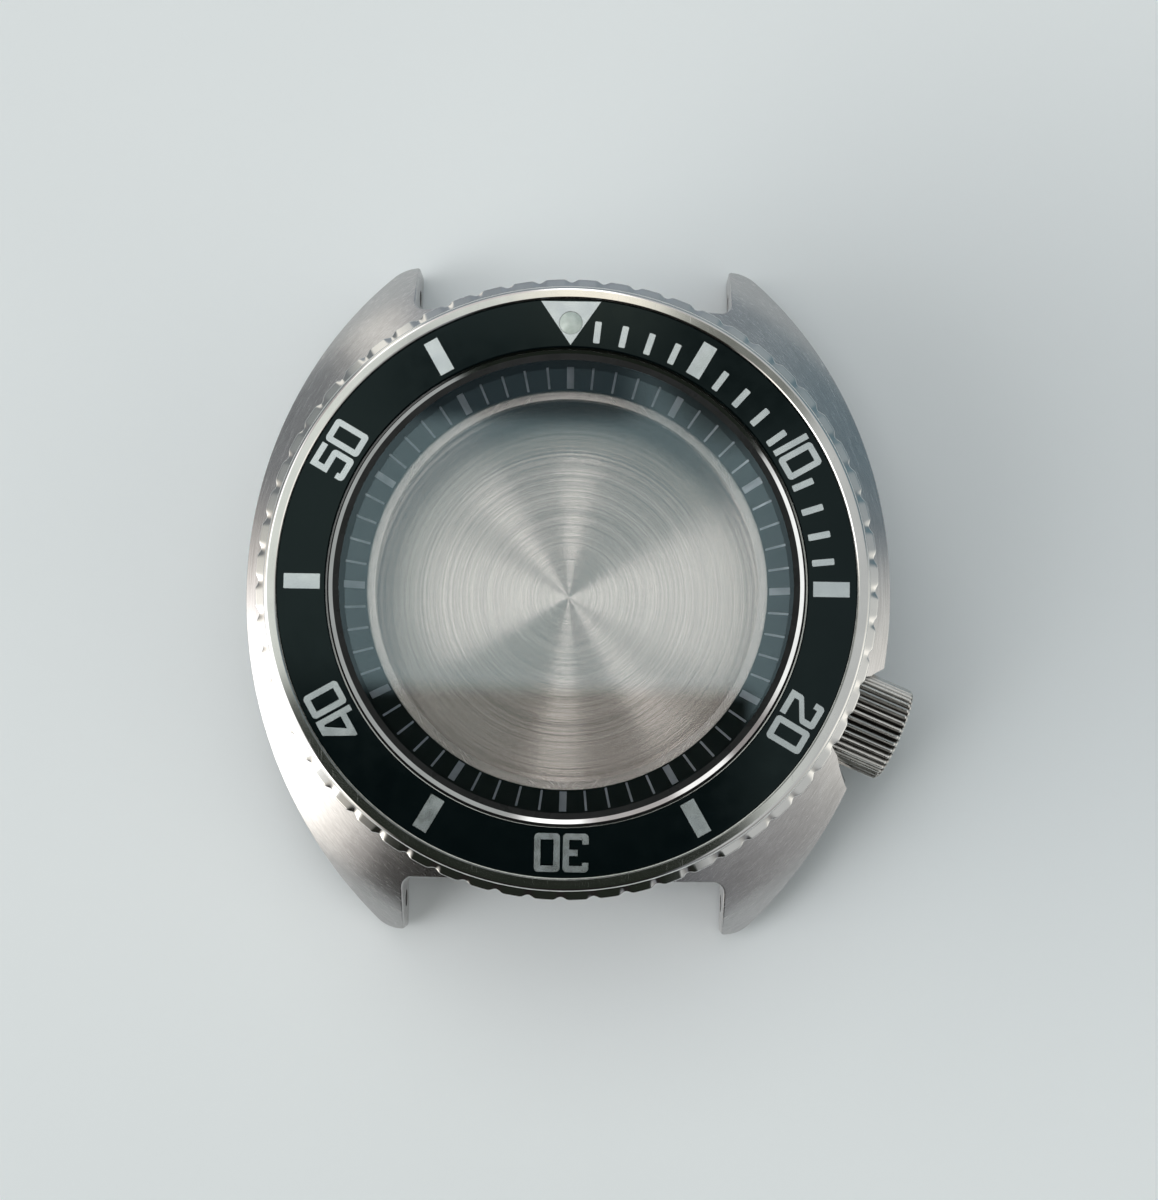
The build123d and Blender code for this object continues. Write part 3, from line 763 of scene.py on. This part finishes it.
# Light low in the room over the whole turn: clock angle, red, green and blue
low_light = (
    (0, 0.34, 0.39, 0.44), (15, 0.30, 0.35, 0.39), (30, 0.30, 0.36, 0.39),
    (45, 0.18, 0.26, 0.30), (60, 0.15, 0.23, 0.27), (75, 0.20, 0.25, 0.28),
    (82, 0.72, 0.74, 0.72), (92, 0.98, 0.98, 0.92), (98, 1.35, 1.33, 1.25),
    (114, 1.30, 1.28, 1.20), (123, 0.66, 0.66, 0.63), (136, 0.40, 0.40, 0.40),
    (147, 0.26, 0.26, 0.26), (154, 0.26, 0.27, 0.29), (161, 0.02, 0.018, 0.018),
    (217, 0.02, 0.018, 0.016), (224, 0.85, 0.82, 0.78), (232, 2.4, 2.3, 2.1),
    (240, 3.6, 3.6, 3.6), (262, 3.6, 3.6, 3.6), (271, 1.9, 1.8, 1.7),
    (281, 0.8, 0.76, 0.70), (292, 0.24, 0.25, 0.26), (304, 0.22, 0.24, 0.25),
    (317, 0.24, 0.26, 0.27), (323, 1.15, 1.13, 1.06), (328, 1.15, 1.13, 1.06),
    (333, 0.36, 0.40, 0.44), (346, 0.30, 0.34, 0.38), (360, 0.34, 0.39, 0.44),
)
# Small spots of the ceiling: clock angle, height, how far from it each starts and is full,
# and its colour
ceiling_spots = (
    (18.3, 78.2, 3.0, 1.6, (0.20, 0.21, 0.19)),
    (358, 77.2, 2.4, 0.8, (1.35, 1.28, 1.10)),
)
# The dark side towards 6, by the height of a direction: where each of its two edges bends, its
# slope past the bend and its place before it, and the blur of both, low down and straight up
dark_left_bend, dark_left_slope, dark_left_place = 0.16, 0.78, 0.037
dark_right_bend, dark_right_slope, dark_right_place = 0.02, 0.45, 0.07
dark_blur_added_low, dark_blur_up = 0.14, 0.006
# A dim patch towards 12, by the height of a direction: each edge's place and blur, and its share
patch_near, patch_near_blur = 0.166, 0.006
patch_far, patch_far_blur = 0.205, 0.008
patch_right, patch_right_blur = 0.015, 0.015
patch_left, patch_left_blur = 0.1, 0.012
patch_share = 0.85
# The even light on the right, by the height of a direction
right_place, right_blur = 0.085, (-0.02, 0.03)
# Slopes away from straight up between which the wedges set in, and fade again
wedges_set_in, wedges_fade = (0.24, 0.28), (0.8, 1.0)
# Heights of a direction between which the light goes from the walls' to the ceiling's, and
# from the low light to all that is above it
ceiling_sets_in, low_ends = (0.1, 0.75), (0.60, 0.78)


def room_light():
    """Light by direction: a pale ceiling, a bright window low on the left, and a dark side."""
    world = bpy.data.worlds.new("room")
    bpy.context.scene.world = world
    world.use_nodes = True
    tree = world.node_tree
    tree.nodes.clear()
    start = Flow(tree)
    across, along, up = start.add("ShaderNodeTexCoord", output="Generated").parts()

    def past(distance, blur):
        """One past an edge, nothing before it, and a soft step of the blur's width between."""
        return distance.smooth(0 - blur, blur)

    def towards(azimuth, elevation, low, high):
        """How much a direction points at a place in the room, by clock angle and height."""
        level = math.cos(math.radians(elevation))
        aim = (level * math.sin(math.radians(azimuth)), level * math.cos(math.radians(azimuth)),
               math.sin(math.radians(elevation)))
        return (across * aim[0] + along * aim[1] + up * aim[2]).smooth(
            math.cos(math.radians(low)), math.cos(math.radians(high)))

    blur = (1 - up) * dark_blur_added_low + dark_blur_up
    left_edge = (across + up * dark_left_bend).maths("MINIMUM", 0.0) * dark_left_slope
    left_edge = left_edge + up * dark_left_place - along
    right_edge = (0 - along - up * dark_right_bend).maths("MAXIMUM", 0.0) * dark_right_slope
    right_edge = right_edge + up * dark_right_place - across
    dark = past(left_edge, blur) * past(right_edge, blur)
    patch = past(along - up * patch_near, patch_near_blur)
    patch = patch * past(up * patch_far - along, patch_far_blur)
    patch = patch * past(up * patch_right - across, patch_right_blur)
    patch = patch * past(across + up * patch_left, patch_left_blur)

    clock = across.maths("ARCTAN2", along) / math.pi
    wedges = start.add("ShaderNodeValToRGB", {"stops": [
        (turn / 180, rgb(level, level * cool, level * cool))
        for turn, level, cool in light_wedges]}, {0: clock.maths("WRAP", 1.0, 0.0)})
    low = start.add("ShaderNodeValToRGB", {"stops": [
        (turn / 360, rgb(*colour)) for turn, *colour in low_light
    ]}, {0: (clock / 2).maths("WRAP", 1.0, 0.0)})
    lean = (across * across + along * along).maths("SQRT") / up.maths("MAXIMUM", 0.01)
    ring = lean.smooth(*wedges_set_in) * (1 - lean.smooth(*wedges_fade))

    light = up.smooth(*ceiling_sets_in).blend(
        rgb(0.50, 0.52, 0.54), rgb(0.90, 0.95, 0.90))
    light = ring.blend(light, wedges)
    light = (across - up * right_place).smooth(*right_blur).blend(light, rgb(0.64, 0.66, 0.66))
    for azimuth, elevation, from_edge, to_full, colour in ceiling_spots:
        light = towards(azimuth, elevation, from_edge, to_full).blend(light, rgb(*colour))
    light = (patch * patch_share).blend(light, rgb(0.06, 0.08, 0.09))
    light = dark.blend(light, rgb(0.020, 0.025, 0.019))
    light = up.smooth(*low_ends).blend(low, light)
    seen = start.add("ShaderNodeLightPath", output="Is Camera Ray")
    light = seen.blend(light, rgb(0.66, 0.70, 0.70))
    start.add("ShaderNodeOutputWorld", None, {
        "Surface": start.add("ShaderNodeBackground", None, {"Color": light, "Strength": 1.0})})


room_light()

# The floor, in metres: half its width, and two soft parts of it with painted shadow, a little
# darker, each with its middle and the distances from it where it starts to fade and is gone
table_half = 1.5
right_shadow_middle, right_shadow_fade, right_shadow_gone = (0.032, 0.006, 0.0), 0.012, 0.05
near_shadow_middle, near_shadow_fade, near_shadow_gone = (0.002, -0.012, 0.0), 0.010, 0.028


def table_colour(place):
    """A pale sheet with painted shadow, a little darker to the right of the case and just round
    it.
    """
    # Painted shadow: the two darker colours below stand in for the case's shade on the floor
    right = place.vector("DISTANCE", right_shadow_middle).smooth(right_shadow_fade, right_shadow_gone)
    near = place.vector("DISTANCE", near_shadow_middle).smooth(near_shadow_fade, near_shadow_gone)
    away = right.blend(rgb(0.79, 0.84, 0.86), rgb(0.90, 0.95, 0.96))
    return near.blend(rgb(0.79, 0.83, 0.85), away)


def pale_table():
    """The floor, a wide sheet that takes the object's shadow."""
    mesh = bpy.data.meshes.new("pale_table")
    mesh.from_pydata([
        (-table_half, -table_half, 0), (table_half, -table_half, 0),
        (table_half, table_half, 0), (-table_half, table_half, 0),
    ], [], [(0, 1, 2, 3)])
    mesh.materials.append(finish("table_paint", table_colour, drifts(0.4, 0.5, 60)))
    table = bpy.data.objects.new("pale_table", mesh)
    bpy.context.scene.collection.objects.link(table)


pale_table()

# Camera: place in millimetres, turn in degrees, and its lens by the frame's height in pixels
camera_place = (2.78, -11.94, 151.02)
camera_turn = (4.543, 0.711, 1.006)
frame_height = 1200
focal_length = 2105
sensor_height = 24.0

camera_data = bpy.data.cameras.new("camera")
camera_data.sensor_fit = "VERTICAL"
camera_data.sensor_height = sensor_height
camera_data.lens = focal_length / frame_height * sensor_height
camera_data.clip_start = 0.005
camera_data.clip_end = 10.0
camera = bpy.data.objects.new("camera", camera_data)
camera.location = [distance * mm for distance in camera_place]
camera.rotation_euler = Euler([math.radians(turn) for turn in camera_turn], "XYZ")
bpy.context.scene.collection.objects.link(camera)
bpy.context.scene.camera = camera
bpy.context.scene.view_settings.view_transform = "Standard"
